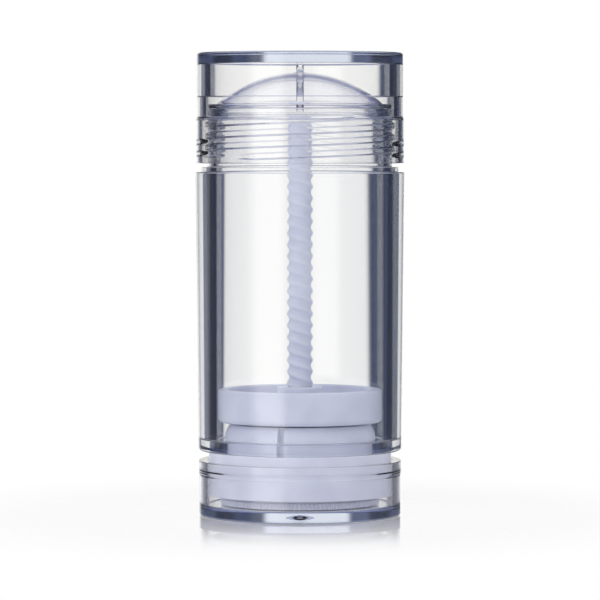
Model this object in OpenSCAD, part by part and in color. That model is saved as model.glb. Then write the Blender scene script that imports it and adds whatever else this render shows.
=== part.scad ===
// Round twist-up stick container: a clear tube with a screwed neck, a clear cap over a domed seal,
// and a base whose screw raises a dished platform. The bottom of the base is at z = 0, its centre
// is the origin, and +Z is up.

/* [Tube] */
// Outer diameter of the tube at its shoulder
tube_d = 50; // [44:0.5:60]
// How much the tube's radius shrinks from the shoulder to the foot
tube_draft = 0.7; // [0.2:0.1:1.2]
// Height of the tube from its foot to the shoulder
tube_h = 66.6; // [50:0.2:90]
// Distance that the neck is set in from the tube's outside
neck_set_in = 2.9; // [2.6:0.1:3.6]
// Wall thickness of the neck
neck_wall = 2.05; // [1.6:0.05:3]
// Height of the neck above the shoulder
neck_h = 15.5; // [14.5:0.1:20]
// Height of the ring at the root of the neck
ring_h = 1.2; // [0.8:0.1:2]
// Distance that the ring stands out from the neck
ring_w = 1.5; // [0.8:0.1:2]
// Thickness of the inward ledge at the tube's foot
ledge_t = 2.7; // [1.5:0.1:4]
// Distance that the ledge reaches in from the bore
ledge_w = 2.45; // [1.5:0.05:3.5]
// Rounding of the tube's lower outer edge
foot_round = 0.7; // [0.3:0.1:1.2]
// Rounding of the tube's shoulder edge
shoulder_round = 0.3; // [0.1:0.1:0.8]

/* [Neck thread] */
// Number of thread starts on the neck
neck_starts = 2; // [1:1:3]
// Rise of the neck thread in one turn
neck_lead = 5.52; // [5.2:0.04:8]
// Height of a neck thread above the neck's wall
neck_thread_h = 0.6; // [0.4:0.05:0.9]
// Width of a neck thread at its root
neck_thread_w = 1.4; // [0.9:0.05:1.6]
// Length of each neck thread in turns
neck_turns = 1.4; // [1:0.1:1.5]
// Angle about the axis at which the first neck thread starts
neck_turn = 46; // [0:1:180]
// Plain stretch between the neck's rim and its threads
neck_plain = 2.8; // [2.4:0.1:3.4]

/* [Cap] */
// Gap between the ring on the neck and the cap's mouth
cap_gap = 0.9; // [0.3:0.1:1.5]
// Amount that the cap's mouth stands inside the tube's outside, on the radius
cap_inset = 0.1; // [0:0.05:0.5]
// Step in the cap's outside below its threaded skirt's top, on the radius
cap_step = 0.22; // [0.1:0.02:0.4]
// Thickness of the cap's top
cap_top_t = 2.6; // [1.5:0.1:4]
// Rounding of the cap's upper edge
cap_corner = 1.1; // [0.4:0.1:2]
// Free height between the seal's dome and the cap's ceiling
cap_headroom = 2.1; // [1:0.1:5]
// Free height between the seal's flange and the step in the cap's bore
pocket_gap = 1.7; // [0.6:0.1:3]
// Radial gap between the neck's wall and the cap's bore above the threads
neck_gap = 0.4; // [0.3:0.05:0.6]
// Width of the step in the cap's bore above the seal
pocket_step = 1; // [0.5:0.1:2]
// Radial gap between the neck thread's crest and the cap's skirt
crest_gap = 0.85; // [0.6:0.05:0.9]
// Width of a cap thread at its root
cap_thread_w = 1.3; // [0.9:0.05:1.4]
// Length of each cap thread in turns
cap_turns = 1.05; // [0.7:0.05:1.1]
// Radial gap between the cap thread's crest and the neck's wall
cap_thread_gap = 0.3; // [0.25:0.05:0.4]

/* [Seal] */
// Wall thickness of the domed seal
seal_t = 1; // [0.7:0.1:1.6]
// Amount that the seal's flange stands inside the neck's outside, on the radius
seal_inset = 0.2; // [0:0.05:1]
// Depth of the seal's plug below the neck's rim
plug_depth = 2.8; // [1.5:0.1:4]
// Radial clearance of the plug in the tube's bore
plug_clear = 0.06; // [0.04:0.01:0.2]
// Height of the dome above the seal's flange
dome_rise = 7.2; // [4:0.2:10]
// Radius of the stem at its upper end
stem_r = 1; // [0.6:0.05:2]
// Amount that the stem's radius shrinks to its lower end
stem_taper = 0.25; // [0:0.05:0.4]
// Length of the stem below the dome
stem_drop = 6.4; // [2:0.2:8]
// Gap between the stem and the cap's ceiling
stem_gap = 0.3; // [0.2:0.05:0.6]

/* [Platform] */
// Radial gap between the platform and the tube's bore
platform_gap = 0.4; // [0.3:0.05:0.8]
// Height of the platform
platform_h = 7.9; // [6:0.1:12]
// Width of the platform's flat rim
rim_w = 2.5; // [1.2:0.1:4]
// Thickness of the platform's floor
platform_floor = 1.8; // [1.2:0.1:3]
// Rounding of the platform's lower outer edge
platform_round = 1.5; // [0.5:0.1:2.4]
// Outer diameter of the platform's hub
hub_d = 10.9; // [9:0.1:14]
// Height of the hub above the platform's rim
hub_rise = 0.5; // [0:0.1:2]
// Gap between the lowered platform and the snap collar
rest_gap = 0.4; // [0.3:0.1:1]

/* [Spindle] */
// Crest diameter of the spindle's two-start left-hand thread
screw_d = 6.2; // [5:0.1:7]
// Depth of the spindle's thread
screw_depth = 0.43; // [0.3:0.01:0.6]
// Rise of the spindle's thread in one turn
screw_lead = 5.52; // [4.5:0.04:8]
// Angle about the axis at which the spindle's thread starts
screw_turn = 90; // [0:1:180]
// Width of a spindle ridge along the axis
screw_ridge = 1.25; // [0.9:0.05:1.4]
// Clearance between the spindle's thread and the platform's nut
screw_clear = 0.25; // [0.2:0.01:0.35]
// Gap between the spindle's top and the lower end of the seal's plug
spindle_gap = 0.6; // [0.3:0.1:3]
// Diameter of the spindle's foot flange
spindle_flange_d = 9; // [7.5:0.5:12]
// Thickness of the spindle's foot flange
spindle_flange_t = 1; // [0.6:0.1:2]
// Distance over the corners of the spindle's hexagonal key
key_d = 5.6; // [4:0.1:6]
// Clearance of the key in its socket, on the radius
key_clear = 0.06; // [0.04:0.01:0.15]
// Height of the snap head below the socket
snap_head_h = 1.2; // [0.8:0.1:2]

/* [Base insert] */
// Height of the visible gap between the base cup and the tube
base_gap = 2.4; // [1.6:0.1:4]
// Gap between the turning insert and the tube's foot
turn_gap = 0.2; // [0.1:0.05:0.5]
// Radial step from the insert's skirt in to its visible flange
flange_set_in = 0.3; // [0.1:0.05:0.8]
// Thickness of the insert's plate
plate_t = 1.7; // [1.2:0.1:2.2]
// Wall thickness of the insert's skirts
insert_wall = 1.5; // [1:0.1:2]
// Gap below the insert's outer skirt, over the base cup's floor
skirt_gap = 1.1; // [0.5:0.1:3]
// Radial clearance of the collar in the tube's ledge
ledge_clear = 0.3; // [0.2:0.05:0.5]
// Distance that the snap barb reaches over the ledge
barb_grip = 0.4; // [0.2:0.05:0.8]
// Gap between the barb and the top of the ledge
barb_gap = 0.15; // [0.1:0.05:0.4]
// Height of the snap collar above the ledge
collar_h = 3.9; // [2.5:0.1:6]
// Amount that the collar's radius shrinks from the barb to its top
collar_taper = 1.3; // [0.5:0.1:1.5]
// Wall thickness of the snap collar below its barb
collar_wall = 1.7; // [1.5:0.1:2.2]
// Number of slots between the snap fingers
slots = 3; // [2:1:6]
// Width of a slot
slot_w = 1.55; // [0.8:0.05:3]
// Turn of the first slot about the axis, in degrees
slot_turn = 256; // [0:1:359]
// Radial distance from the outer skirt's outside to the serrated ring's outside
ring_set_in = 3.2; // [2.8:0.1:5]
// Number of teeth on the serrated ring
teeth = 120; // [60:2:140]
// Depth of a tooth
tooth_depth = 0.4; // [0.2:0.05:0.6]
// Height of the toothed foot
tooth_h = 1.6; // [1:0.1:4]
// Wall thickness round the key's socket
socket_wall = 2; // [1:0.1:3]
// Depth of the key's socket below the plate
socket_h = 6; // [3:0.2:7]

/* [Base cup] */
// Height of the base cup
base_h = 13.2; // [12:0.1:18]
// Amount that the base cup stands inside the tube's foot, on the radius
base_inset = 0.05; // [0:0.05:0.5]
// Step below the rim band in the cup's outside, on the radius
band_step = 0.12; // [0.05:0.01:0.3]
// Height of the rim band
band_h = 1.9; // [1:0.1:3]
// Wall thickness of the base cup
base_wall = 2; // [1.4:0.1:2.6]
// Thickness of the base cup's floor
base_floor = 2.45; // [1.8:0.05:3.5]
// Rounding of the base cup's lower edge
base_corner = 1.4; // [0.5:0.1:2]
// Radius of the gate's recess under the floor
gate_r = 2.2; // [1:0.1:4]
// Depth of the gate's recess
gate_depth = 1.2; // [0.4:0.1:1.5]
// Height of the snap bead's middle below the rim
bead_drop = 2.9; // [2.6:0.1:3.6]
// Height of the snap bead
bead_h = 1.6; // [1:0.1:2]
// Distance that the bead stands out of the cup's wall
bead_w = 0.4; // [0.2:0.05:0.5]
// Clearance between the insert and the base cup
base_clear = 0.1; // [0.05:0.01:0.2]

/* [Hidden] */
$fn = 96;
clear_tint = [0.86, 0.89, 0.95, 0.4];
white_tint = [0.86, 0.87, 0.92];
// A small overlap that lets joined shapes share volume
eps = 0.01;

// Tube
tube_r = tube_d/2;
foot_r = tube_r - tube_draft;
neck_r = tube_r - neck_set_in;
bore_r = neck_r - neck_wall;
hole_r = bore_r - ledge_w;
foot_z = base_h + base_gap;
ledge_z = foot_z + ledge_t;
shoulder_z = foot_z + tube_h;
ring_z = shoulder_z + ring_h;
neck_z = shoulder_z + neck_h;

// Neck thread: it ends above the ring and starts below the plain stretch
neck_nose_w = 0.45*neck_thread_w;
neck_thread_z = neck_z - neck_plain - neck_thread_w/2 - neck_lead*neck_turns;

// Seal
seal_z = neck_z + turn_gap/4;
flange_r = neck_r - seal_inset;
plug_r = bore_r - plug_clear;
plug_z = neck_z - plug_depth;
dome_z = seal_z + seal_t;
dome_r = (plug_r*plug_r + dome_rise*dome_rise)/(2*dome_rise);
apex_z = dome_z + dome_rise;

// Cap
cap_r = tube_r - cap_inset;
cap_z = ring_z + cap_gap;
ceiling_z = apex_z + cap_headroom;
cap_top_z = ceiling_z + cap_top_t;
pocket_z = dome_z + pocket_gap;
skirt_top_z = neck_z - neck_plain;
pocket_r = neck_r + neck_gap;
vault_r = pocket_r - pocket_step;
skirt_r = neck_r + neck_thread_h + crest_gap;
cap_thread_r = neck_r + cap_thread_gap;
cap_nose_w = 0.45*cap_thread_w;
// The cap's threads lie half way between the neck's, one turn's share lower for each start
cap_thread_z = cap_z + 0.35 + cap_thread_w/2;
cap_phase = neck_turn + 360*(cap_thread_z - neck_thread_z)/neck_lead + 180/neck_starts;

// Base cup
base_r = foot_r - base_inset;
cup_r = base_r - band_step;
cup_bore_r = base_r - base_wall;
bead_z = base_h - bead_drop;
bead_r = cup_bore_r - bead_w;

// Insert
insert_r = cup_bore_r - base_clear;
insert_flange_r = insert_r - flange_set_in;
groove_r = bead_r - base_clear;
plate_z = foot_z - turn_gap;
skirt_z = base_floor + skirt_gap;
shank_r = hole_r - ledge_clear;
barb_r = hole_r + barb_grip;
collar_bore_r = shank_r - collar_wall;
barb_z = ledge_z + barb_gap;
collar_z = ledge_z + collar_h;
toothed_r = insert_r - ring_set_in;
toothed_z = base_floor + turn_gap/4;
key_r = key_d/2;
socket_r = key_r + key_clear;
socket_z = plate_z - plate_t - socket_h;

// Platform and spindle
platform_r = bore_r - platform_gap;
platform_z = collar_z + rest_gap;
rim_z = platform_z + platform_h;
hub_z = rim_z + hub_rise;
screw_r = screw_d/2;
screw_z = platform_z - rest_gap;
screw_top_z = plug_z - spindle_gap;

// Points of an arc about c from angle a to angle b in n steps
function arc(c, r, a, b, n = 8) =
    [for (i = [0:n]) [c[0] + r*cos(a + (b - a)*i/n), c[1] + r*sin(a + (b - a)*i/n)]];

// Cross-section of a two-start screw: a root circle with two rounded ridges, grown by a clearance
function screw_section(root, ridge, half, grow) = [
    for (start = [0, 180])
        for (p = [[-1, 0], [-0.52, 0.62], [0, 1], [0.52, 0.62], [1, 0],
                  [1 + (90/half - 1)*0.5, 0], [90/half, 0], [1 + (90/half - 1)*1.5, 0]])
            let (a = start + p[0]*half, r = root + grow + ridge*p[1])
                [r*cos(a), r*sin(a)]
];

// One left-hand screw of the spindle's lead between two heights, grown by a clearance
module screw(z0, z1, grow = 0) {
    turn = 360*(z1 - z0)/screw_lead;
    half = 180*screw_ridge/screw_lead + 60*grow;
    translate([0, 0, z0])
        rotate([0, 0, screw_turn - 360*(z0 - screw_z)/screw_lead])
            linear_extrude(height = z1 - z0, twist = turn, slices = ceil(turn/25), segments = 16)
                polygon(screw_section(screw_r - screw_depth, screw_depth, half, grow));
}

// One helical ridge on a wall of radius r: side is 1 for a ridge that stands out of the wall and
// -1 for one that stands in from it. Both ends run out to a point inside the wall.
module ridge(r, h, w, nose, lead, turns, z0, side, run_out = 0.12) {
    n = ceil(36*turns);
    buried = 0.25;
    rows = [for (i = [0:n])
        let (t = i/n,
             s = min(1, t*turns/run_out, (1 - t)*turns/run_out),
             a = 360*turns*t,
             z = z0 + lead*turns*t,
             foot = r - side*buried,
             crest = foot + side*(0.5*buried + (h + 0.5*buried)*s),
             hw = w/2*(0.3 + 0.7*s),
             hn = nose/2*(0.3 + 0.7*s))
        [for (p = [[foot, -hw], [crest, -hn], [crest, hn], [foot, hw]])
            [p[0]*cos(a), p[0]*sin(a), z + p[1]]]];
    points = [for (row = rows) each row];
    quads = [for (i = [0:n - 1], k = [0:3])
        [4*i + k, 4*i + (k + 1)%4, 4*(i + 1) + (k + 1)%4, 4*(i + 1) + k]];
    sides = [for (q = quads) each [[q[0], q[1], q[2]], [q[0], q[2], q[3]]]];
    ends = [[0, 3, 2], [0, 2, 1], [4*n, 4*n + 1, 4*n + 2], [4*n, 4*n + 2, 4*n + 3]];
    faces = side > 0 ? concat(sides, ends) : [for (f = concat(sides, ends)) [f[2], f[1], f[0]]];
    polyhedron(points = points, faces = faces, convexity = 6);
}

module body_tube() {
    outline = concat(
        [[bore_r, neck_z], [bore_r, ledge_z], [hole_r, ledge_z], [hole_r, foot_z]],
        arc([foot_r - foot_round, foot_z + foot_round], foot_round, -90, 0),
        arc([tube_r - shoulder_round, shoulder_z - shoulder_round], shoulder_round, 0, 90, 4),
        [[neck_r + ring_w, shoulder_z], [neck_r + ring_w, ring_z],
         [neck_r, ring_z], [neck_r, neck_z]]);
    color(clear_tint)
    union() {
        rotate_extrude() polygon(outline);
        for (i = [0:neck_starts - 1])
            rotate([0, 0, neck_turn + i*360/neck_starts])
                ridge(neck_r, neck_thread_h, neck_thread_w, neck_nose_w,
                      neck_lead, neck_turns, neck_thread_z, 1);
    }
}

module cap() {
    upper_r = cap_r - cap_step;
    outline = concat(
        [[0, ceiling_z], [vault_r, ceiling_z], [vault_r, pocket_z], [pocket_r, pocket_z],
         [pocket_r, skirt_top_z], [skirt_r, skirt_top_z], [skirt_r, cap_z], [cap_r, cap_z],
         [cap_r, skirt_top_z], [upper_r, skirt_top_z + 3*cap_step]],
        arc([upper_r - cap_corner, cap_top_z - cap_corner], cap_corner, 0, 90),
        [[0, cap_top_z]]);
    color(clear_tint)
    union() {
        rotate_extrude() polygon(outline);
        for (i = [0:neck_starts - 1])
            rotate([0, 0, cap_phase + i*360/neck_starts])
                ridge(skirt_r, skirt_r - cap_thread_r, cap_thread_w, cap_nose_w,
                      neck_lead, cap_turns, cap_thread_z, -1);
    }
}

module dome_seal() {
    inner_r = dome_r - seal_t;
    centre_z = apex_z - dome_r;
    plug_bore_r = plug_r - seal_t;
    outer_half = asin(plug_r/dome_r);
    inner_half = asin(plug_bore_r/inner_r);
    outline = concat(
        [[0, apex_z - seal_t]],
        arc([0, centre_z], inner_r, 90 - inner_half/16, 90 - inner_half, 15),
        [[plug_bore_r, plug_z], [plug_r, plug_z], [plug_r, seal_z], [flange_r, seal_z],
         [flange_r, dome_z]],
        arc([0, centre_z], dome_r, 90 - outer_half, 90, 16));
    stem_z = apex_z - seal_t - stem_drop;
    stem_top_z = ceiling_z - stem_gap;
    color(clear_tint)
    union() {
        rotate_extrude() polygon(outline);
        translate([0, 0, stem_z])
            cylinder(r1 = stem_r - stem_taper, r2 = stem_r, h = stem_top_z - stem_z, $fn = 32);
    }
}

module platform() {
    hub_r = hub_d/2;
    hub_edge = 0.4;
    dish_r = platform_r - rim_w;
    floor_z = platform_z + platform_floor;
    dish_round = 1.2;
    outline = concat(
        [[0, platform_z]],
        arc([platform_r - platform_round, platform_z + platform_round], platform_round, -90, 0),
        arc([platform_r - 0.3, rim_z - 0.3], 0.3, 0, 90, 3),
        [[dish_r + 0.3, rim_z], [dish_r, rim_z - 0.3]],
        arc([dish_r - dish_round, floor_z + dish_round], dish_round, 0, -90),
        arc([hub_r + dish_round, floor_z + dish_round], dish_round, -90, -180),
        arc([hub_r - hub_edge, hub_z - hub_edge], hub_edge, 0, 90, 4),
        [[0, hub_z]]);
    color(white_tint)
    difference() {
        rotate_extrude() polygon(outline);
        screw(platform_z - 1, hub_z + 1, screw_clear);
    }
}

module spindle() {
    core_r = screw_r - screw_depth - 0.3;
    flange_top_z = plate_z + spindle_flange_t;
    color(white_tint)
    union() {
        screw(screw_z, screw_top_z);
        translate([0, 0, plate_z])
            cylinder(r = core_r, h = screw_z + 0.5 - plate_z);
        translate([0, 0, plate_z])
            cylinder(d = spindle_flange_d, h = spindle_flange_t);
        translate([0, 0, flange_top_z - eps])
            cylinder(r1 = core_r + 1.2, r2 = core_r, h = 1.2);
        translate([0, 0, socket_z - snap_head_h/2])
            cylinder(r = key_r, h = plate_z + eps - socket_z + snap_head_h/2, $fn = 6);
        translate([0, 0, socket_z - 0.1 - snap_head_h])
            cylinder(r1 = key_r - 0.6, r2 = key_r + 0.35, h = snap_head_h);
    }
}

// The serrated foot ring: teeth raised by tooth_h on the outside of the inner skirt
module toothed_ring() {
    step = 360/teeth;
    root_r = toothed_r - tooth_depth;
    linear_extrude(height = tooth_h)
    difference() {
        polygon([for (i = [0:teeth - 1]) each [
            [toothed_r*cos(i*step), toothed_r*sin(i*step)],
            [root_r*cos((i + 0.5)*step), root_r*sin((i + 0.5)*step)]]]);
        circle(r = root_r - 0.4);
    }
}

module base_insert() {
    inner_r = insert_r - insert_wall;
    under_z = plate_z - plate_t;
    collar_top_r = barb_r - collar_taper;
    groove_low_z = bead_z - bead_h/2 - 2*base_clear;
    groove_high_z = bead_z + bead_h/2 + 2*base_clear;
    relief_r = insert_r - base_clear;
    ring_r = toothed_r - tooth_depth - 0.1;
    skirts = [
        [toothed_r - insert_wall, toothed_z], [ring_r, toothed_z],
        [ring_r, under_z], [inner_r, under_z], [inner_r, skirt_z],
        [relief_r, skirt_z], [relief_r, groove_low_z], [groove_r, groove_low_z],
        [groove_r, groove_high_z], [insert_r, groove_high_z + base_clear], [insert_r, base_h - 0.3],
        [insert_flange_r, base_h], [insert_flange_r, plate_z], [shank_r, plate_z],
        [shank_r, barb_z], [barb_r, barb_z], [barb_r, barb_z + 0.5], [collar_top_r, collar_z],
        [collar_bore_r, collar_z], [collar_bore_r, plate_z], [socket_r - 0.5, plate_z],
        [socket_r - 0.5, socket_z], [socket_r + socket_wall, socket_z],
        [socket_r + socket_wall, under_z], [toothed_r - insert_wall, under_z]];
    color(white_tint)
    difference() {
        union() {
            rotate_extrude() polygon(skirts);
            translate([0, 0, toothed_z + 0.1]) toothed_ring();
        }
        translate([0, 0, socket_z - 1])
            cylinder(r = socket_r, h = plate_z - socket_z + 2, $fn = 6);
        for (i = [0:slots - 1])
            rotate([0, 0, slot_turn + i*360/slots])
                translate([collar_bore_r - 1, -slot_w/2, plate_z + 0.5])
                    cube([barb_r - collar_bore_r + 2, slot_w, collar_z - plate_z]);
    }
}

module base_cup() {
    outline = concat(
        [[0, 0]],
        arc([cup_r - base_corner, base_corner], base_corner, -90, 0),
        [[cup_r, base_h - band_h], [base_r, base_h - band_h + 0.3], [base_r, base_h],
         [cup_bore_r, base_h],
         [cup_bore_r, bead_z + bead_h/2], [bead_r, bead_z + bead_h/4],
         [bead_r, bead_z - bead_h/4], [cup_bore_r, bead_z - bead_h/2],
         [cup_bore_r, base_floor + 0.6], [cup_bore_r - 0.6, base_floor], [0, base_floor]]);
    color(clear_tint)
    difference() {
        rotate_extrude() polygon(outline);
        translate([0, 0, -eps])
            cylinder(r1 = gate_r, r2 = 0.7*gate_r, h = gate_depth, $fn = 32);
    }
}

cap();
dome_seal();
body_tube();
platform();
spindle();
base_insert();
base_cup();
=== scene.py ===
"""Clear twist-up stick container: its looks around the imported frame, laid out as an add-on.

Every size is in metres, in the frame's own place: the foot stands at z = 0 and the photographer
looks from the -Y side.
"""

import math

import bmesh
import bpy
from bpy.props import FloatProperty, FloatVectorProperty, IntProperty, PointerProperty
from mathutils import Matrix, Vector


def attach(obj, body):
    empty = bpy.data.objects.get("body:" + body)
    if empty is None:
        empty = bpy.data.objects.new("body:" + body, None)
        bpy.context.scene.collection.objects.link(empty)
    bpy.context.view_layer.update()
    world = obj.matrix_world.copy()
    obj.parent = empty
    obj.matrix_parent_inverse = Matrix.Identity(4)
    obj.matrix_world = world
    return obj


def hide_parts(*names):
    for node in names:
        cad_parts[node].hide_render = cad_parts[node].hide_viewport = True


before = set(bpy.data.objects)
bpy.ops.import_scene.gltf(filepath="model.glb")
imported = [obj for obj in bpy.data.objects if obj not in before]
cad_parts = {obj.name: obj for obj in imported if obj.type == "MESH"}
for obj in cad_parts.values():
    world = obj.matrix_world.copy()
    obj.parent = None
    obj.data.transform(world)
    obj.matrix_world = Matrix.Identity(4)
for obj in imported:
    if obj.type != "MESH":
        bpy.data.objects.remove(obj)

bl_info = {
    "name": "Twist-up stick container",
    "version": (1, 0, 0),
    "blender": (4, 5, 0),
    "location": "3D View > Sidebar > Container",
    "description": "Builds the clear container, its white lift and its studio",
    "category": "Object",
}

MM = 0.001
FLOOR_GAP = 0.05 * MM  # keeps the cup's foot clear of the sheet, so that light turns back in it


def seen(red, green, blue):
    """The linear colour that a picture shows as these shares of white."""
    return tuple(
        c / 12.92 if c <= 0.04045 else ((c + 0.055) / 1.055) ** 2.4
        for c in (red, green, blue)
    )


def size(name, description, millimetres):
    return FloatProperty(
        name=name,
        description=description,
        default=millimetres * MM,
        precision=5,
        unit="LENGTH",
        subtype="DISTANCE",
    )


def share(name, description, value, low=0.0, high=1.0):
    return FloatProperty(
        name=name,
        description=description,
        default=value,
        min=low,
        max=high,
        subtype="FACTOR",
    )


def angle(name, description, degrees):
    return FloatProperty(
        name=name,
        description=description,
        default=math.radians(degrees),
        unit="ROTATION",
        subtype="ANGLE",
    )


def colour(name, description, red, green, blue):
    return FloatVectorProperty(
        name=name,
        description=description,
        default=seen(red, green, blue),
        size=3,
        min=0.0,
        max=1.0,
        subtype="COLOR",
    )


class TubeSizes(bpy.types.PropertyGroup):
    """Sizes of the tube and of the thread on its neck"""

    radius: size("Radius", "Outside of the tube at its shoulder", 25)
    foot_radius: size("Foot radius", "Outside of the tube at its foot", 24.3)
    foot: size("Foot height", "Height of the tube's lower edge", 15.6)
    shoulder: size("Shoulder height", "Height of the shoulder under the cap", 82.2)
    ring_radius: size("Ring radius", "Outside of the ring at the neck's root", 23.6)
    ring_top: size("Ring top", "Height of the ring's upper face", 83.4)
    neck_radius: size("Neck radius", "Outside of the neck between its threads", 22.1)
    neck_top: size("Neck top", "Height of the neck's rim", 97.25)
    bore: size("Bore radius", "Inside of the tube and neck", 20.05)
    ledge_top: size("Ledge top", "Height of the ledge that the collar grips", 18.3)
    hole: size("Foot hole radius", "Inside of the ledge", 17.6)
    foot_round: size("Foot rounding", "Rounding of the tube's lower edge", 0.7)
    shoulder_round: size("Shoulder rounding", "Rounding of the shoulder", 0.3)
    lead: size("Lead", "Rise of the neck's thread in one turn", 5.52)
    starts: IntProperty(
        name="Starts",
        description="Threads side by side on the neck",
        default=2,
        min=1,
        max=4,
    )
    thread_height: size("Thread height", "How far a thread stands out", 0.6)
    thread_width: size("Thread width", "Width of a thread at its foot", 1.7)
    thread_turns: FloatProperty(
        name="Turns", description="Turns of each thread", default=1.75, min=0.3, max=3
    )
    thread_foot: size("Thread foot", "Height of a thread's lower end", 85.7)
    thread_start: angle("Thread start", "Where a thread's lower end lies", 42)
    thread_pause: angle("Thread pause", "Half of the stretch at the back without thread", 62)


class CapSizes(bpy.types.PropertyGroup):
    """Sizes of the screw cap"""

    radius: size("Radius", "Outside of the cap at its mouth", 24.9)
    upper_radius: size("Upper radius", "Outside of the cap above its step", 24.68)
    mouth: size("Mouth height", "Height of the cap's lower edge", 84.3)
    step: size("Step height", "Height of the step in bore and outside", 94.65)
    skirt: size("Skirt bore", "Inside of the skirt between its threads", 23.55)
    pocket: size("Pocket radius", "Bore around the neck's rim", 22.5)
    pocket_top: size("Pocket top", "Height of the pocket's upper face", 100.15)
    vault: size("Vault radius", "Bore above the pocket", 21.5)
    ceiling: size("Ceiling height", "Underside of the cap's top", 108.05)
    top: size("Top height", "Height of the cap's flat top", 110.65)
    corner: size("Corner rounding", "Rounding round the top", 0.6)
    thread_reach: size("Thread crest", "Radius of the inner threads' crests", 22.4)
    thread_width: size("Thread width", "Width of an inner thread at its foot", 1.3)
    thread_turns: FloatProperty(
        name="Turns", description="Turns of each thread", default=1.05, min=0.3, max=3
    )
    thread_foot: size("Thread foot", "Height of an inner thread's lower end", 85.3)
    thread_pause: angle("Thread pause", "Half of each stretch without thread", 62)


class SealSizes(bpy.types.PropertyGroup):
    """Sizes of the domed seal in the neck"""

    flange_radius: size("Flange radius", "Outside of the flange", 21.9)
    flange_foot: size("Flange foot", "Underside of the flange", 97.3)
    wall: size("Wall", "Thickness of the seal", 1)
    plug_radius: size("Plug radius", "Outside of the plug in the neck", 19.99)
    plug_foot: size("Plug foot", "Height of the plug's lower edge", 94.9)
    dome_rise: size("Dome rise", "Rise of the dome above its flange", 7.65)
    stem_radius: size("Stem radius", "Outside of the hollow stem", 0.9)
    stem_bore: size("Stem bore", "Inside of the hollow stem", 0.8)
    stem_drop: size("Stem drop", "How far the stem hangs under the dome", 6.4)
    stem_top: size("Stem top", "Height of the stem's top", 107.75)


class LiftSizes(bpy.types.PropertyGroup):
    """Sizes of the platform and the spindle that raises it"""

    radius: size("Platform radius", "Outside of the platform", 19.65)
    foot: size("Platform foot", "Underside of the platform", 22.6)
    rim_top: size("Rim top", "Height of the platform's flat rim", 30.5)
    rim_width: size("Rim width", "Width of the flat rim", 2.5)
    dish_floor: size("Dish floor", "Height of the dish's floor", 24.4)
    round: size("Rounding", "Rounding under the platform", 1.5)
    hub_radius: size("Hub radius", "Outside of the nut", 5.45)
    hub_top: size("Hub top", "Height of the nut's top", 31)
    screw_radius: size("Screw radius", "Crest radius of the spindle", 3.1)
    screw_depth: size("Thread depth", "Depth of the spindle's thread", 0.5)
    screw_lead: size("Screw lead", "Travel of the platform in one turn", 5.52)
    screw_width: size("Thread width", "Width of a thread of the spindle", 2.2)
    screw_clear: size("Clearance", "Clearance between spindle and nut", 0.25)
    screw_foot: size("Screw foot", "Lower end of the spindle's thread", 22.2)
    screw_top: size("Screw top", "Upper end of the spindle", 94.3)
    screw_turn: angle("Screw start", "Where the spindle's thread starts", 90)
    flange_radius: size("Flange radius", "Flange on the base plate", 4.5)
    key_radius: size("Key radius", "Across the corners of the key, halved", 2.8)


class BaseSizes(bpy.types.PropertyGroup):
    """Sizes of the turning base: the clear cup and the white insert"""

    cup_radius: size("Cup radius", "Outside of the cup", 24.13)
    band_radius: size("Band radius", "Outside of the band at the cup's rim", 24.25)
    cup_top: size("Cup top", "Height of the cup's rim", 13.2)
    band_height: size("Band height", "Height of the band", 3.2)
    cup_bore: size("Cup bore", "Inside of the cup", 22.25)
    cup_floor: size("Cup floor", "Thickness of the cup's floor", 2.7)
    gate_depth: size("Gate depth", "Depth of the recess under the floor", 0.7)
    gate_radius: size("Gate radius", "Radius of that recess at the foot", 2.3)
    cup_corner: size("Cup rounding", "Rounding of the cup's foot", 0.6)
    bead: size("Bead height", "Middle of the bead inside the cup", 10.3)
    bead_radius: size("Bead radius", "Inside of the bead", 22.1)
    bead_width: size("Bead width", "Width of the bead", 1.6)
    insert_radius: size("Insert radius", "Outside of the insert", 22.15)
    insert_flange: size("Insert flange", "Outside of the insert's flange", 21.85)
    insert_wall: size("Insert wall", "Wall of the insert's skirts", 1.5)
    plate_top: size("Plate top", "Height of the insert's plate", 15.4)
    plate_wall: size("Plate wall", "Thickness of the plate", 1.7)
    skirt_foot: size("Skirt foot", "Lower edge of the outer skirt", 5.1)
    shank: size("Shank radius", "Outside of the collar in the ledge", 17.3)
    barb: size("Barb radius", "Outside of the collar above the ledge", 18)
    barb_foot: size("Barb foot", "Height of the collar's barb", 18.45)
    collar_top: size("Collar top", "Height of the collar's top", 22.2)
    collar_taper: size("Collar taper", "Narrowing of the collar to its top", 1.3)
    collar_bore: size("Collar bore", "Inside of the collar", 15.6)
    slot_width: size("Slot width", "Width of a slot in the collar", 1.55)
    slot_depth: size("Slot depth", "Depth of a slot from the barb", 1.9)
    slot_turn: angle("Slot angle", "Where the first slot lies", 256)
    toothed_radius: size("Toothed radius", "Outside of the serrated foot", 18.95)
    toothed_foot: size("Toothed foot", "Lower edge of the serrated foot", 2.85)
    tooth_depth: size("Tooth depth", "Depth of a serration", 0.3)
    tooth_height: size("Tooth height", "Height of the serrations", 1.35)
    teeth: IntProperty(
        name="Teeth",
        description="Serrations round the insert's foot",
        default=120,
        min=12,
        max=240,
    )


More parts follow.
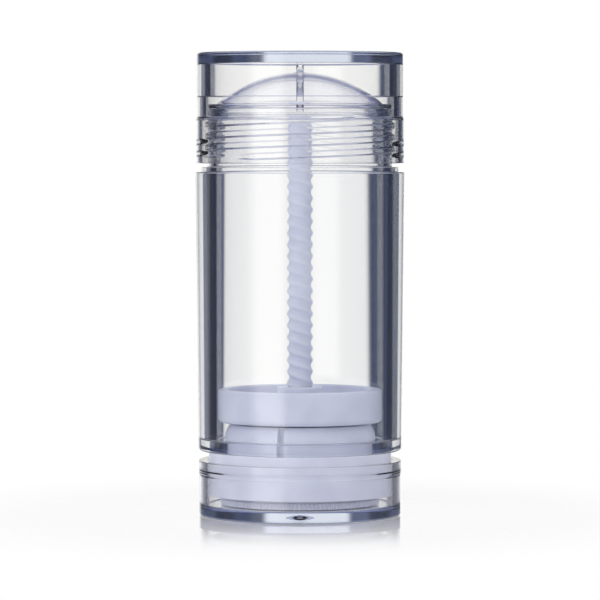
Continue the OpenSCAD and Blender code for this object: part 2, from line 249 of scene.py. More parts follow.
class Finishes(bpy.types.PropertyGroup):
    """Looks of the two plastics"""

    clear_index: FloatProperty(
        name="Bending",
        description="How strongly the clear plastic bends light",
        default=1.57,
        min=1.3,
        max=1.8,
    )
    soft_index: FloatProperty(
        name="Seal's bending",
        description="How strongly the soft seal bends light",
        default=1.42,
        min=1.3,
        max=1.8,
    )
    clear_tint: FloatVectorProperty(
        name="Depth tint",
        description="Colour that a great depth of clear plastic keeps",
        default=(0.25, 0.425, 0.75),
        size=3,
        min=0.0,
        max=1.0,
        subtype="COLOR",
    )
    clear_density: FloatProperty(
        name="Tint density",
        description="How fast a depth of clear plastic takes that tint",
        default=10,
        min=0,
        max=50,
    )
    clear_ripple: share("Ripple", "Strength of the moulding's faint ripple", 0.008)
    white: colour("White", "Colour of the white plastic", 0.885, 0.895, 0.95)
    white_shade: colour("White shade", "Its clouding", 0.845, 0.855, 0.915)
    white_roughness: share("White roughness", "Roughness of the white plastic", 0.3)
    white_depth: share("White depth", "How much light spreads inside it", 0.5)


class Studio(bpy.types.PropertyGroup):
    """Camera, floor and light"""

    distance: FloatProperty(
        name="Distance",
        description="From the camera to the container's axis",
        default=0.933,
        unit="LENGTH",
        subtype="DISTANCE",
    )
    eye: FloatProperty(
        name="Eye height",
        description="Height of the camera",
        default=0.093,
        unit="LENGTH",
        subtype="DISTANCE",
    )
    aim: FloatProperty(
        name="Aim height",
        description="Height that the camera looks at",
        default=0.0515,
        unit="LENGTH",
        subtype="DISTANCE",
    )
    view: FloatProperty(
        name="View angle",
        description="Width of the camera's view",
        default=2 * math.atan(300 / 3899),
        unit="ROTATION",
        subtype="ANGLE",
    )
    floor_radius: FloatProperty(
        name="Floor radius",
        description="Radius of the pale sheet that the container stands on",
        default=0.24,
        unit="LENGTH",
        subtype="DISTANCE",
    )
    fill: share("Fill", "Level of the even light from all round", 0.8, 0.0, 2.0)
    softbox: FloatProperty(
        name="Softbox",
        description="Power of the softbox at the front left",
        default=1.5,
        min=0,
        unit="POWER",
    )


class Link:
    """A socket in a node tree. Sums of it add Math nodes."""

    def __init__(self, nodes, socket):
        self.nodes, self.socket = nodes, socket

    def _math(self, operation, *values, clamp=False):
        return self.nodes.add(
            "ShaderNodeMath",
            {"operation": operation, "use_clamp": clamp},
            dict(enumerate(values)),
        )

    def __add__(self, other):
        return self._math("ADD", self, other)

    def __radd__(self, other):
        return self._math("ADD", other, self)

    def __sub__(self, other):
        return self._math("SUBTRACT", self, other)

    def __rsub__(self, other):
        return self._math("SUBTRACT", other, self)

    def __mul__(self, other):
        return self._math("MULTIPLY", self, other)

    def __rmul__(self, other):
        return self._math("MULTIPLY", other, self)

    def __truediv__(self, other):
        return self._math("DIVIDE", self, other)

    def __rtruediv__(self, other):
        return self._math("DIVIDE", other, self)

    def __pow__(self, other):
        return self._math("POWER", self, other)

    def most(self, other):
        return self._math("MAXIMUM", self, other)

    def least(self, other):
        return self._math("MINIMUM", self, other)


class Nodes:
    """Fills one node tree: a material's or the world's."""

    def __init__(self, owner):
        owner.use_nodes = True
        self.tree = owner.node_tree
        self.tree.nodes.clear()

    def add(self, kind, settings=None, sockets=None, output=0):
        """Adds a node, sets it, fills its sockets and returns one output."""
        node = self.tree.nodes.new(kind)
        for name, value in (settings or {}).items():
            if name == "stops":
                self._set_stops(node.color_ramp, value)
            else:
                setattr(node, name, value)
        for name, value in (sockets or {}).items():
            socket = node.inputs[name]
            if isinstance(value, Link):
                self.tree.links.new(value.socket, socket)
            elif isinstance(value, tuple) and socket.type == "RGBA":
                socket.default_value = (*value, 1.0)[:4]
            else:
                socket.default_value = value
        return Link(self, node.outputs[output]) if node.outputs else None

    @staticmethod
    def _set_stops(ramp, stops):
        while len(ramp.elements) > 1:
            ramp.elements.remove(ramp.elements[-1])
        for i, (place, shade) in enumerate(stops):
            stop = ramp.elements[0] if i == 0 else ramp.elements.new(place)
            stop.position = place
            stop.color = (*shade, 1.0)

    def ramp(self, value, low, high):
        """0 below low, 1 above high and smooth between."""
        return self.add(
            "ShaderNodeMapRange",
            {"interpolation_type": "SMOOTHSTEP"},
            {"Value": value, "From Min": low, "From Max": high},
        )

    def blend(self, factor, first, second):
        """Mixes two colours."""
        return self.add(
            "ShaderNodeMix",
            {"data_type": "RGBA"},
            {0: factor, 6: first, 7: second},
            output=2,
        )

    def mix(self, factor, first, second):
        """Mixes two shaders."""
        return self.add("ShaderNodeMixShader", {}, {0: factor, 1: first, 2: second})

    def path(self, output):
        return self.add("ShaderNodeLightPath", output=output)


class Screw:
    """Threads that wind round a wall: a lift over the wall's radius at each angle and height."""

    def __init__(
        self,
        wall,
        height,
        width,
        nose,
        lead,
        foot,
        turn,
        starts=2,
        turns=None,
        hand=1,
        run_out=0.06,
        pauses=(),
    ):
        self.wall, self.height, self.width, self.nose = wall, height, width, nose
        self.lead, self.foot, self.turn, self.starts = lead, foot, turn, starts
        self.turns, self.hand, self.run_out = turns, hand, run_out
        self.pauses = pauses  # (middle, half width) of each stretch without thread

    def strength(self, at):
        """1 where the thread stands in full and 0 in a pause."""
        part = 1.0
        for middle, half in self.pauses:
            off = abs((at - middle + math.pi) % math.tau - math.pi)
            part = min(part, max(0.0, (off - half) / math.radians(14)))
        return part

    def radius(self, at, z):
        lift, full_at = 0.0, self.strength(at)
        for start in range(self.starts):
            part = self.hand * (at - self.turn) / math.tau - start / self.starts
            along = part + round((z - self.foot) / self.lead - part)
            end = full_at
            if self.turns is not None:
                end = min(end, along / self.run_out, (self.turns - along) / self.run_out)
            if end <= 0:
                continue
            away = abs(z - self.foot - self.lead * along)
            half = self.width / 2 * (0.3 + 0.7 * end)
            flat = self.nose / 2 * (0.3 + 0.7 * end)
            up = max(0.0, min(1.0, (half - away) / (half - flat)))
            if not self.nose:
                up = up * up * (3 - 2 * up)  # a soft ridge
            full = abs(self.height) + 0.125 * MM if self.turns else abs(self.height)
            buried = 0.125 * MM if self.turns else 0.0
            lift = max(lift, (full * end - buried) * up)
        return self.wall + math.copysign(lift, self.height)

    def column(self, at, first, last):
        """Radius and height of the wall's points at one angle, from height first to last."""
        low, high = min(first, last), max(first, last)
        pitch = self.lead / self.starts
        shift = self.hand * self.lead * at / math.tau
        centre = self.foot - self.hand * self.lead * self.turn / math.tau
        half, flat, near = self.width / 2, self.nose / 2, 0.03 * MM
        if self.nose:
            side = [flat - 3 * near, flat - near, flat + near, (flat + half) / 2]
            side += [half - near, half + near, half + 3 * near]
        else:
            side = [half * k / 6 for k in range(1, 6)] + [half - near, half + near]
        ridge = [-d for d in reversed(side)] + [0.0] + side
        between = [half + (pitch - self.width) * k / 3 for k in (1, 2)]
        m0 = math.floor((low - self.lead - centre) / pitch) - 1
        m1 = math.ceil((high + self.lead - centre) / pitch) + 1
        rows = [
            min(high, max(low, centre + pitch * m + d + shift))
            for m in range(m0, m1 + 1)
            for d in ridge + between
        ]
        if first > last:
            rows.reverse()
        return [(self.radius(at, z), z) for z in rows]


def rounded(corners, steps=3, hold=0.06 * MM):
    """The points of an outline. Each corner is (radius, height, rounding); a Screw between two
    corners stands for the threads on the wall there. hold keeps the flats flat."""
    real = [c for c in corners if not isinstance(c, Screw)]
    line, place = [], 0
    for corner in corners:
        if isinstance(corner, Screw):
            line.append(corner)
            continue
        here = Vector(corner[:2])
        back = Vector(real[place - 1][:2]) - here
        ahead = Vector(real[(place + 1) % len(real)][:2]) - here
        place += 1
        lengths = back.length, ahead.length
        back.normalize()
        ahead.normalize()
        half = back.angle(ahead) / 2
        if corner[2] <= 0 or half > math.radians(89.5):
            line.append((here.x, here.y))
            continue
        reach = min(corner[2] / math.tan(half), 0.45 * min(lengths))
        rounding = reach * math.tan(half)
        centre = here + (back + ahead).normalized() * (rounding / math.sin(half))
        first, last = here + back * reach, here + ahead * reach
        spread = math.pi - 2 * half
        count = max(2, math.ceil(steps * spread / (math.pi / 2)) + 1)
        for way, end in ((back, first), (None, None), (ahead, last)):
            if way is not None:
                room = lengths[0 if way is back else 1] - reach
                point = end + way * min(hold, 0.3 * room)
                line.append((point.x, point.y))
                continue
            for k in range(count + 1):
                t = k / count
                arm = (first - centre) * math.sin((1 - t) * spread)
                arm += (last - centre) * math.sin(t * spread)
                point = centre + arm / math.sin(spread)
                line.append((point.x, point.y))
    return line


def curve(centre, radius, begin, end, count):
    """Corners without rounding along an arc in the outline, between two angles in degrees."""
    points = []
    for k in range(count + 1):
        a = math.radians(begin + (end - begin) * k / count)
        points.append(
            (centre[0] + radius * math.cos(a), centre[1] + radius * math.sin(a), 0)
        )
    return points


def column(line, at):
    """The outline's points at one angle, with the threads worked out."""
    points = []
    for i, item in enumerate(line):
        if isinstance(item, Screw):
            after = line[(i + 1) % len(line)]
            points += item.column(at, points[-1][1], after[1])
        else:
            points.append(item)
    return points


def turned(name, line, segments, shape=None):
    """A closed body turned round the axis from an outline. shape may move its points."""
    points, faces = [], []
    for i in range(segments + 1):
        at = math.tau * i / segments
        ring = column(line, at)
        if shape is not None:
            ring = shape(at, ring)
        x, y = math.cos(at), math.sin(at)
        points += [(r * x, r * y, z) for r, z in ring]
        count = len(ring)
        if i:
            here, before = i * count, (i - 1) * count
            for k in range(count):
                j = (k + 1) % count
                faces.append((before + k, before + j, here + j, here + k))
    mesh = bpy.data.meshes.new(name)
    mesh.from_pydata(points, [], faces)
    body = bmesh.new()
    body.from_mesh(mesh)
    bmesh.ops.remove_doubles(body, verts=body.verts, dist=1e-6)
    bmesh.ops.recalc_face_normals(body, faces=body.faces)
    for face in body.faces:
        face.smooth = True
    body.to_mesh(mesh)
    body.free()
    piece = bpy.data.objects.new(name, mesh)
    bpy.context.scene.collection.objects.link(piece)
    return piece


def crease(piece, degrees=40):
    """Makes edges that turn more than this sharp."""
    mesh = bmesh.new()
    mesh.from_mesh(piece.data)
    for edge in mesh.edges:
        edge.smooth = (
            len(edge.link_faces) == 2
            and edge.calc_face_angle(0.0) < math.radians(degrees)
        )
    mesh.to_mesh(piece.data)
    mesh.free()


def cut(piece, cutter):
    """Takes the cutter out of the piece for good."""
    change = piece.modifiers.new("cut", "BOOLEAN")
    change.operation = "DIFFERENCE"
    change.solver = "EXACT"
    change.object = cutter
    bpy.context.view_layer.update()
    graph = bpy.context.evaluated_depsgraph_get()
    mesh = bpy.data.meshes.new_from_object(piece.evaluated_get(graph))
    piece.modifiers.clear()
    piece.data = mesh
    mesh.name = piece.name
    bpy.data.objects.remove(cutter)


def bars(name, boxes):
    """One object of boxes, each (centre, half sizes, turn about the axis)."""
    mesh = bmesh.new()
    for centre, half, turn in boxes:
        made = bmesh.ops.create_cube(mesh, size=2)["verts"]
        x, y = math.cos(turn), math.sin(turn)
        for v in made:
            px, py = (
                centre[0] + v.co.x * half[0],
                centre[1] + v.co.y * half[1],
            )
            v.co = (px * x - py * y, px * y + py * x, centre[2] + v.co.z * half[2])
    data = bpy.data.meshes.new(name)
    mesh.to_mesh(data)
    mesh.free()
    made = bpy.data.objects.new(name, data)
    bpy.context.scene.collection.objects.link(made)
    return made


def clear_plastic(name, looks, bending):
    """Clear moulded plastic: it bends light as the real one does, is tinted by its own depth and
    has a faint ripple. Lamp light and light from white parts pass straight through it."""
    shade = bpy.data.materials.new(name)
    n = Nodes(shade)
    place = n.add("ShaderNodeTexCoord", output="Object")
    ripple = n.add(
        "ShaderNodeTexNoise",
        {},
        {"Vector": place, "Scale": 55.0, "Detail": 2.0, "Roughness": 0.4},
    )
    fine = n.add(
        "ShaderNodeTexNoise", {}, {"Vector": place, "Scale": 900.0, "Detail": 1.0}
    )
    waves = n.add(
        "ShaderNodeBump",
        {},
        {
            "Strength": looks.clear_ripple,
            "Distance": 0.2 * MM,
            "Height": ripple + fine * 0.01,
        },
    )
    plastic = n.add(
        "ShaderNodeBsdfPrincipled",
        {},
        {
            "Base Color": (1.0, 1.0, 1.0),
            "Roughness": 0.0,
            "IOR": bending,
            "Transmission Weight": 1.0,
            "Normal": waves,
        },
    )
    open_air = n.add("ShaderNodeBsdfTransparent", {}, {"Color": (1.0, 1.0, 1.0)})
    lamp_ray = n.path("Is Shadow Ray").most(n.path("Is Diffuse Ray"))
    surface = n.mix(lamp_ray, plastic, open_air)
    depth = n.add(
        "ShaderNodeVolumeAbsorption",
        {},
        {"Color": tuple(looks.clear_tint), "Density": looks.clear_density},
    )
    n.add("ShaderNodeOutputMaterial", {}, {"Surface": surface, "Volume": depth})
    return shade


def white_plastic(name, looks):
    """White moulded plastic with a soft sheen, faint clouding and a fine moulded grain."""
    shade = bpy.data.materials.new(name)
    n = Nodes(shade)
    place = n.add("ShaderNodeTexCoord", output="Object")
    clouds = n.add(
        "ShaderNodeTexNoise", {}, {"Vector": place, "Scale": 120.0, "Detail": 4.0}
    )
    grain = n.add(
        "ShaderNodeTexNoise", {}, {"Vector": place, "Scale": 2600.0, "Detail": 2.0}
    )
    tone = n.blend(
        n.ramp(clouds, 0.35, 0.7), tuple(looks.white), tuple(looks.white_shade)
    )
    bump = n.add(
        "ShaderNodeBump",
        {},
        {"Strength": 0.12, "Distance": 0.05 * MM, "Height": grain + clouds * 0.5},
    )
    plastic = n.add(
        "ShaderNodeBsdfPrincipled",
        {"subsurface_method": "RANDOM_WALK"},
        {
            "Base Color": tone,
            "Roughness": looks.white_roughness + 0.08 * (grain - 0.5),
            "IOR": 1.49,
            "Subsurface Weight": looks.white_depth,
            "Subsurface Radius": (1.0, 0.95, 0.9),
            "Subsurface Scale": 1.2 * MM,
            "Normal": bump,
        },
    )
    through = n.add("ShaderNodeBsdfTranslucent", {}, {"Color": tone})
    n.add("ShaderNodeOutputMaterial", {}, {"Surface": n.mix(0.06, plastic, through)})
    return shade


def finish_piece(piece, body, node, shade):
    """Gives a piece its material and its place in the frame."""
    piece.data.materials.clear()
    piece.data.materials.append(shade)
    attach(piece, body)
    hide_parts(node)


def shade_for(kind):
    """The plastic of that kind, made once."""
    looks = bpy.context.scene.container_finishes
    name = kind + ("_moulding" if kind == "white" else "_shell")
    if name in bpy.data.materials:
        return bpy.data.materials[name]
    if kind == "white":
        return white_plastic(name, looks)
    bending = looks.soft_index if kind == "soft_clear" else looks.clear_index
    return clear_plastic(name, looks, bending)


class CONTAINER_OT_tube(bpy.types.Operator):
    """Makes the clear tube with its threaded neck"""

    bl_idname = "container.tube"
    bl_label = "Tube"

    def execute(self, context):
        s = context.scene.container_tube
        thread = Screw(
            s.neck_radius,
            s.thread_height,
            s.thread_width,
            0.6 * s.thread_width,
            s.lead,
            s.thread_foot,
            s.thread_start,
            starts=s.starts,
            turns=s.thread_turns,
            pauses=[(math.pi / 2, s.thread_pause)],
        )
        line = rounded(
            [
                (s.bore, s.neck_top, 0.15 * MM),
                (s.bore, s.ledge_top, 0.25 * MM),
                (s.hole, s.ledge_top, 0.2 * MM),
                (s.hole, s.foot, 0.2 * MM),
                (s.foot_radius, s.foot, s.foot_round),
                (s.radius, s.shoulder, s.shoulder_round),
                (s.ring_radius, s.shoulder, 0.1 * MM),
                (s.ring_radius, s.ring_top, 0.12 * MM),
                (s.neck_radius, s.ring_top, 0.15 * MM),
                thread,
                (s.neck_radius, s.neck_top, 0.15 * MM),
            ]
        )
        piece = turned("clear_tube", line, 288)
        finish_piece(piece, "tube", "body_tube", shade_for("clear"))
        return {"FINISHED"}


class CONTAINER_OT_cap(bpy.types.Operator):
    """Makes the clear screw cap"""

    bl_idname = "container.cap"
    bl_label = "Cap"

    def execute(self, context):
        s, tube = context.scene.container_cap, context.scene.container_tube
        rise = (s.thread_foot - tube.thread_foot) / tube.lead
        start = tube.thread_start + math.tau * (rise + 0.5 / tube.starts)
        thread = Screw(
            s.skirt,
            s.thread_reach - s.skirt,
            s.thread_width,
            0.6 * s.thread_width,
            tube.lead,
            s.thread_foot,
            start,
            starts=tube.starts,
            turns=s.thread_turns,
            pauses=[(way * math.pi / 2, s.thread_pause) for way in (-1, 1)],
        )
        step_top = s.step + 3 * (s.radius - s.upper_radius)
        line = rounded(
            [
                (0, s.ceiling, 0),
                (s.vault, s.ceiling, 0.3 * MM),
                (s.vault, s.pocket_top, 0.12 * MM),
                (s.pocket, s.pocket_top, 0.15 * MM),
                (s.pocket, s.step, 0.12 * MM),
                (s.skirt, s.step, 0.15 * MM),
                thread,
                (s.skirt, s.mouth, 0.12 * MM),
                (s.radius, s.mouth, 0.2 * MM),
                (s.radius, s.step, 0.3 * MM),
                (s.upper_radius, step_top, 0.3 * MM),
                (s.upper_radius, s.top, s.corner),
                (0, s.top, 0),
            ],
            steps=5,
        )
        piece = turned("clear_cap", line, 288)
        finish_piece(piece, "cap", "cap", shade_for("clear"))
        return {"FINISHED"}


class CONTAINER_OT_seal(bpy.types.Operator):
    """Makes the thin domed seal with its stem"""

    bl_idname = "container.seal"
    bl_label = "Domed seal"

    def execute(self, context):
        s = context.scene.container_seal
        dome_foot = s.flange_foot + s.wall
        radius = (s.plug_radius**2 + s.dome_rise**2) / (2 * s.dome_rise)
        apex = dome_foot + s.dome_rise
        centre = (0.0, apex - radius)
        inner, plug_bore = radius - s.wall, s.plug_radius - s.wall
        low_in = 90 - math.degrees(math.asin(plug_bore / inner))
        low_out = 90 - math.degrees(math.asin(s.plug_radius / radius))
        stem_in = 90 - math.degrees(math.asin(s.stem_radius / inner))
        stem_out = 90 - math.degrees(math.asin(s.stem_radius / radius))
        stem_foot = apex - s.wall - s.stem_drop
        stem_end = s.stem_top - 0.6 * MM
        line = rounded(
            [
                (0, stem_end, 0),
                (s.stem_bore, stem_end, 0.2 * MM),
                (s.stem_bore, stem_foot, 0.05 * MM),
                (s.stem_radius, stem_foot, 0.08 * MM),
                *curve(centre, inner, stem_in, low_in, 22),
                (plug_bore, s.plug_foot, 0.1 * MM),
                (s.plug_radius, s.plug_foot, 0.2 * MM),
                (s.plug_radius, s.flange_foot, 0.12 * MM),
                (s.flange_radius, s.flange_foot, 0.15 * MM),
                (s.flange_radius, dome_foot, 0.2 * MM),
                *curve(centre, radius, low_out, stem_out, 22),
                (s.stem_radius, s.stem_top, 0.25 * MM),
                (0, s.stem_top, 0),
            ]
        )
        piece = turned("domed_seal", line, 192)
        finish_piece(piece, "seal", "dome_seal", shade_for("soft_clear"))
        return {"FINISHED"}


class CONTAINER_OT_platform(bpy.types.Operator):
    """Makes the white platform with its dish and nut"""

    bl_idname = "container.platform"
    bl_label = "Platform"

    def execute(self, context):
        s = context.scene.container_lift
        dish = s.radius - s.rim_width
        nut = Screw(
            s.screw_radius - s.screw_depth + s.screw_clear,
            s.screw_depth,
            s.screw_width + 0.3 * MM,
            0,
            s.screw_lead,
            s.screw_foot,
            s.screw_turn,
            hand=-1,
        )
        line = rounded(
            [
                (nut.wall, s.foot, 0),
                (s.radius, s.foot, s.round),
                (s.radius, s.rim_top, 0.3 * MM),
                (dish, s.rim_top, 0.3 * MM),
                (dish, s.dish_floor, 1.2 * MM),
                (s.hub_radius, s.dish_floor, 1.2 * MM),
                (s.hub_radius, s.hub_top, 0.4 * MM),
                (nut.wall, s.hub_top, 0),
                nut,
            ],
            steps=4,
        )
        piece = turned("white_platform", line, 240)
        crease(piece)
        finish_piece(piece, "platform", "platform", shade_for("white"))
        return {"FINISHED"}


class CONTAINER_OT_spindle(bpy.types.Operator):
    """Makes the white left-hand spindle"""

    bl_idname = "container.spindle"
    bl_label = "Spindle"

    def execute(self, context):
        s, base = context.scene.container_lift, context.scene.container_base
        root = s.screw_radius - s.screw_depth
        core = root - 0.3 * MM
        plate = base.plate_top
        thread = Screw(
            root,
            s.screw_depth,
            s.screw_width,
            0,
            s.screw_lead,
            s.screw_foot,
            s.screw_turn,
            hand=-1,
        )
        line = rounded(
            [
                (0, plate - 9.2 * MM, 0),
                (s.key_radius - 0.6 * MM, plate - 9.2 * MM, 0.1 * MM),
                (s.key_radius, plate - 8 * MM, 0.1 * MM),
                (s.key_radius, plate, 0.1 * MM),
                (s.flange_radius, plate, 0.1 * MM),
                (s.flange_radius, plate + 1 * MM, 0.2 * MM),
                (core + 1.2 * MM, plate + 1 * MM, 0.2 * MM),
                (core, plate + 2.2 * MM, 0.2 * MM),
                (core, s.screw_foot, 0),
                (root, s.screw_foot, 0),
                thread,
                (root, s.screw_top, 0),
                (0, s.screw_top, 0),
            ]
        )
        piece = turned("white_spindle", line, 64)
        crease(piece)
        finish_piece(piece, "base", "spindle", shade_for("white"))
        return {"FINISHED"}


class CONTAINER_OT_insert(bpy.types.Operator):
    """Makes the white insert with its snap collar, skirts and serrated foot"""

    bl_idname = "container.insert"
    bl_label = "Base insert"

    def execute(self, context):
        s, lift = context.scene.container_base, context.scene.container_lift
        under = s.plate_top - s.plate_wall
        inner = s.insert_radius - s.insert_wall
        ring = s.toothed_radius - s.insert_wall
        relief = s.insert_radius - 0.1 * MM
        groove = s.bead_radius - 0.1 * MM
        groove_low = s.bead - s.bead_width / 2 - 0.2 * MM
        groove_high = s.bead + s.bead_width / 2 + 0.2 * MM
        teeth_foot = s.toothed_foot + 0.1 * MM
        teeth_top = teeth_foot + s.tooth_height
        root = s.toothed_radius - s.tooth_depth - 0.1 * MM
        socket, socket_foot = lift.key_radius + 0.06 * MM, under - 6 * MM
        fine = 0.12 * MM
        nose_foot = s.barb_foot + 0.5 * MM
        nose_rise = s.collar_top - nose_foot
        nose = (nose_rise**2 + s.collar_taper**2) / (2 * s.collar_taper)
        steepest = math.degrees(math.asin(nose_rise / nose))
        line = rounded(
            [
                (ring, s.toothed_foot, fine),
                (root, s.toothed_foot, 0.05 * MM),
                (root, teeth_foot, 0),
                (s.toothed_radius, teeth_foot, 0),
                (s.toothed_radius, teeth_top, 0),
                (root, teeth_top, 0),
                (root, under, fine),
                (inner, under, fine),
                (inner, s.skirt_foot, fine),
                (relief, s.skirt_foot, fine),
                (relief, groove_low, 0.1 * MM),
                (groove, groove_low, 0.1 * MM),
                (groove, groove_high, 0.1 * MM),
                (s.insert_radius, groove_high + 0.1 * MM, 0.1 * MM),
                (s.insert_radius, s.cup_top - 0.3 * MM, 0.15 * MM),
                (s.insert_flange, s.cup_top, 0.15 * MM),
                (s.insert_flange, s.plate_top, 0.2 * MM),
                (s.shank, s.plate_top, 0.12 * MM),
                (s.shank, s.barb_foot, fine),
                (s.barb, s.barb_foot, fine),
                *curve((s.barb - nose, nose_foot), nose, 0, steepest, 8),
                (s.collar_bore, s.collar_top, 0.2 * MM),
                (s.collar_bore, s.plate_top, 0.15 * MM),
                (socket, s.plate_top, fine),
                (socket, socket_foot, fine),
                (socket + 2 * MM, socket_foot, fine),
                (socket + 2 * MM, under, fine),
                (ring, under, fine),
            ]
        )

        def serrate(at, points):
            wave = abs((at * s.teeth / math.tau) % 1 - 0.5) * 2
            return [
                (r - s.tooth_depth * (1 - wave), z)
                if abs(r - s.toothed_radius) < 1e-7
                else (r, z)
                for r, z in points
            ]

        piece = turned("white_insert", line, 4 * s.teeth, serrate)
        low = s.plate_top + 0.5 * MM
        middle, reach = s.barb, s.slot_depth
        slots = [
            (
                (middle, 0, (low + s.collar_top) / 2 + 1 * MM),
                (reach, s.slot_width / 2, (s.collar_top - low) / 2 + 1 * MM),
                s.slot_turn + k * math.tau / 3,
            )
            for k in range(3)
        ]
        cut(piece, bars("slot_cutter", slots))
        crease(piece)
        finish_piece(piece, "base", "base_insert", shade_for("white"))
        return {"FINISHED"}


class CONTAINER_OT_cup(bpy.types.Operator):
    """Makes the clear base cup"""

    bl_idname = "container.cup"
    bl_label = "Base cup"

    def execute(self, context):
        s = context.scene.container_base
        half = s.bead_width / 2
        line = rounded(
            [
                (0, s.gate_depth, 0),
                (1.2 * MM, 0.5 * MM, 1.5 * MM),
                (s.gate_radius, 0, 0.15 * MM),
                (s.cup_radius, 0, s.cup_corner),
                (s.cup_radius, s.cup_top - s.band_height, 0.2 * MM),
                (s.band_radius, s.cup_top - s.band_height + 0.3 * MM, 0.2 * MM),
                (s.band_radius, s.cup_top, 0.25 * MM),
                (s.cup_bore, s.cup_top, 0.15 * MM),
                (s.cup_bore, s.bead + half, 0.15 * MM),
                (s.bead_radius, s.bead + half / 2, 0.15 * MM),
                (s.bead_radius, s.bead - half / 2, 0.15 * MM),
                (s.cup_bore, s.bead - half, 0.15 * MM),
                (s.cup_bore, s.cup_floor, 0.25 * MM),
                (0, s.cup_floor, 0),
            ],
            steps=5,
        )
        piece = turned("clear_cup", line, 288)
        finish_piece(piece, "base", "base_cup", shade_for("clear"))
        return {"FINISHED"}


def floor_finish(studio):
    """A pale glossy sheet: white to the camera with a soft mirror image that fades away from
    the container, and matt for the light."""
    shade = bpy.data.materials.new("pale_floor")
    n = Nodes(shade)
    place = n.add("ShaderNodeTexCoord", output="Object")
    away = n.add(
        "ShaderNodeVectorMath", {"operation": "LENGTH"}, {0: place}, output="Value"
    )
    speck = n.add("ShaderNodeTexNoise", {}, {"Vector": place, "Scale": 40.0})
    matt = n.add(
        "ShaderNodeBsdfDiffuse",
        {},
        {"Color": n.blend(speck, seen(0.97, 0.97, 0.975), seen(0.955, 0.955, 0.965))},
    )
    white = n.add("ShaderNodeEmission", {}, {"Color": (1.0, 1.0, 1.0), "Strength": 1.0})
    mirror = n.add(
        "ShaderNodeBsdfGlossy", {}, {"Color": (0.95, 0.95, 1.0), "Roughness": 0.03}
    )
    near = 1 - n.ramp(away, 0.024, 0.1)
    grazing = (n.add("ShaderNodeFresnel", {}, {"IOR": 1.5}) * 1.75).least(1)
    lit = n.mix(0.3 * (1 - n.ramp(away, 0.03, 0.12)), white, matt)
    shown = n.mix(0.7 * near * near * grazing, lit, mirror)
    bent = n.path("Is Glossy Ray").most(n.path("Is Transmission Ray"))
    passed = n.mix(bent * 0.8 * grazing, matt, mirror)
    surface = n.mix(n.path("Is Camera Ray"), passed, shown)
    n.add("ShaderNodeOutputMaterial", {}, {"Surface": surface})
    return shade


def studio_sky(world, studio):
    """White to the camera, even light for matt surfaces, and for gloss and clear plastic a
    studio with a bright panel behind, dark screens beside it and a softbox at the front."""
    n = Nodes(world)
    way = n.add("ShaderNodeTexCoord", output="Generated")
    split = n.add("ShaderNodeSeparateXYZ", {}, {0: way})
    x, y, z = split, Link(n, split.socket.node.outputs[1]), None
    z = Link(n, split.socket.node.outputs[2])
    round_by = n.add("ShaderNodeMath", {"operation": "ARCTAN2"}, {0: x, 1: y})
    turn = round_by * (1 / math.tau) + 0.5
    up = n.add("ShaderNodeMath", {"operation": "ARCSINE"}, {0: z}) * (180 / math.pi)
    dark, slate = seen(0.17, 0.18, 0.23), seen(0.27, 0.30, 0.38)
    grey, side = seen(0.46, 0.48, 0.56), seen(0.62, 0.63, 0.68)
    dusk = seen(0.38, 0.40, 0.48)
    stops = [
        (-180, side),
        (-90, grey),
        (-76, slate),
        (-60, slate),
        (-54, dark),
        (-36, dark),
        (-32, dusk),
        (-23, dusk),
        (-20.5, (1.0, 0.985, 0.94)),
        (13.5, (1.0, 0.985, 0.94)),
        (16, slate),
        (30, slate),
        (34, dark),
        (46, dark),
        (50, slate),
        (76, slate),
        (90, grey),
        (180, side),
    ]
    ring = n.add(
        "ShaderNodeValToRGB",
        {"stops": [(0.5 + a / 360, shade) for a, shade in stops]},
        {0: turn},
    )
    above = n.ramp(up, 12.0, 18.0)
    below = 1 - n.ramp(up, -22.0, -14.0)
    ceiling = n.blend(n.path("Is Glossy Ray"), seen(0.28, 0.31, 0.44), seen(0.42, 0.44, 0.60))
    scene = n.blend(above, ring, ceiling)
    scene = n.blend(n.ramp(up, 32.0, 50.0), scene, seen(0.86, 0.87, 0.92))
    scene = n.blend(below, scene, seen(0.93, 0.93, 0.94))
    box = n.ramp(turn, 0.5 - 167 / 360, 0.5 - 153 / 360)
    box = box * (1 - n.ramp(turn, 0.5 - 131 / 360, 0.5 - 117 / 360))
    box = box * n.ramp(up, -14.0, -9.0) * (1 - n.ramp(up, 45.0, 55.0))
    scene = n.blend(box, scene, (1.0, 1.0, 1.0))
    around = n.add("ShaderNodeBackground", {}, {"Color": scene, "Strength": 1.05})
    flash = n.add(
        "ShaderNodeBackground", {}, {"Color": (1.0, 0.99, 0.98), "Strength": 1.6}
    )
    around = n.mix(box, around, flash)
    even = n.add(
        "ShaderNodeBackground",
        {},
        {"Color": seen(0.99, 0.99, 1.0), "Strength": studio.fill},
    )
    white = n.add(
        "ShaderNodeBackground", {}, {"Color": (1.0, 1.0, 1.0), "Strength": 1.0}
    )
    bent = n.path("Is Glossy Ray").most(n.path("Is Transmission Ray"))
    light = n.mix(bent, even, around)
    surface = n.mix(n.path("Is Camera Ray"), light, white)
    n.add("ShaderNodeOutputWorld", {}, {"Surface": surface})


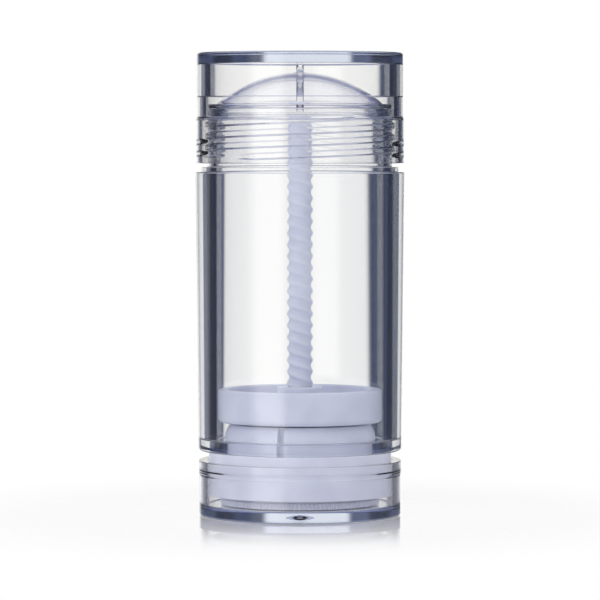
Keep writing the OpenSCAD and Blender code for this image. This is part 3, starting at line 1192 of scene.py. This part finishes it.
class CONTAINER_OT_stage(bpy.types.Operator):
    """Sets up camera, floor, softbox and the light from all round"""

    bl_idname = "container.stage"
    bl_label = "Stage"

    def execute(self, context):
        scene, studio = context.scene, context.scene.container_studio
        camera = bpy.data.cameras.new("camera")
        camera.sensor_fit = "HORIZONTAL"
        camera.angle = studio.view
        camera.clip_start, camera.clip_end = 0.05, 10
        eye = bpy.data.objects.new("camera", camera)
        eye.location = (0, -studio.distance, studio.eye)
        look = Vector((0, 0, studio.aim)) - eye.location
        eye.rotation_euler = look.to_track_quat("-Z", "Y").to_euler()
        scene.collection.objects.link(eye)
        scene.camera = eye

        line = rounded(
            [
                (0, -1.5 * MM, 0),
                (studio.floor_radius, -1.5 * MM, 0.5 * MM),
                (studio.floor_radius, -FLOOR_GAP, 0.5 * MM),
                (0, -FLOOR_GAP, 0),
            ]
        )
        floor = turned("floor", line, 128)
        floor.data.materials.append(floor_finish(studio))

        lamp = bpy.data.lights.new("softbox", "AREA")
        lamp.shape, lamp.size, lamp.size_y = "RECTANGLE", 0.45, 0.6
        lamp.energy = studio.softbox
        box = bpy.data.objects.new("softbox", lamp)
        box.location = (-0.5, -0.62, 0.38)
        aim = Vector((0, 0, 0.05)) - box.location
        box.rotation_euler = aim.to_track_quat("-Z", "Y").to_euler()
        box.visible_glossy = box.visible_transmission = box.visible_camera = False
        scene.collection.objects.link(box)

        world = bpy.data.worlds.new("studio")
        scene.world = world
        studio_sky(world, studio)

        scene.view_settings.view_transform = "Standard"
        scene.cycles.max_bounces = 24
        scene.cycles.transmission_bounces = 24
        scene.cycles.transparent_max_bounces = 32
        scene.cycles.glossy_bounces = 8
        return {"FINISHED"}


class CONTAINER_PT_panel(bpy.types.Panel):
    """Lists the pieces"""

    bl_label = "Container"
    bl_idname = "CONTAINER_PT_panel"
    bl_space_type = "VIEW_3D"
    bl_region_type = "UI"
    bl_category = "Container"

    def draw(self, context):
        for maker in OPERATORS:
            self.layout.operator(maker.bl_idname)
        for name, _ in GROUPS:
            group = getattr(context.scene, name)
            box = self.layout.box()
            for key in group.bl_rna.properties.keys():
                if key not in ("rna_type", "name"):
                    box.prop(group, key)


GROUPS = [
    ("container_tube", TubeSizes),
    ("container_cap", CapSizes),
    ("container_seal", SealSizes),
    ("container_lift", LiftSizes),
    ("container_base", BaseSizes),
    ("container_finishes", Finishes),
    ("container_studio", Studio),
]
OPERATORS = [
    CONTAINER_OT_stage,
    CONTAINER_OT_tube,
    CONTAINER_OT_cap,
    CONTAINER_OT_seal,
    CONTAINER_OT_platform,
    CONTAINER_OT_spindle,
    CONTAINER_OT_insert,
    CONTAINER_OT_cup,
]
CLASSES = [group for _, group in GROUPS] + OPERATORS + [CONTAINER_PT_panel]


def register():
    for item in CLASSES:
        bpy.utils.register_class(item)
    for name, group in GROUPS:
        setattr(bpy.types.Scene, name, PointerProperty(type=group))


def unregister():
    for name, _ in GROUPS:
        delattr(bpy.types.Scene, name)
    for item in reversed(CLASSES):
        bpy.utils.unregister_class(item)


def main():
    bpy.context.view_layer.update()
    register()
    bpy.ops.container.stage()
    bpy.ops.container.tube()
    bpy.ops.container.cap()
    bpy.ops.container.seal()
    bpy.ops.container.platform()
    bpy.ops.container.spindle()
    bpy.ops.container.insert()
    bpy.ops.container.cup()


if __name__ == "__main__":
    main()
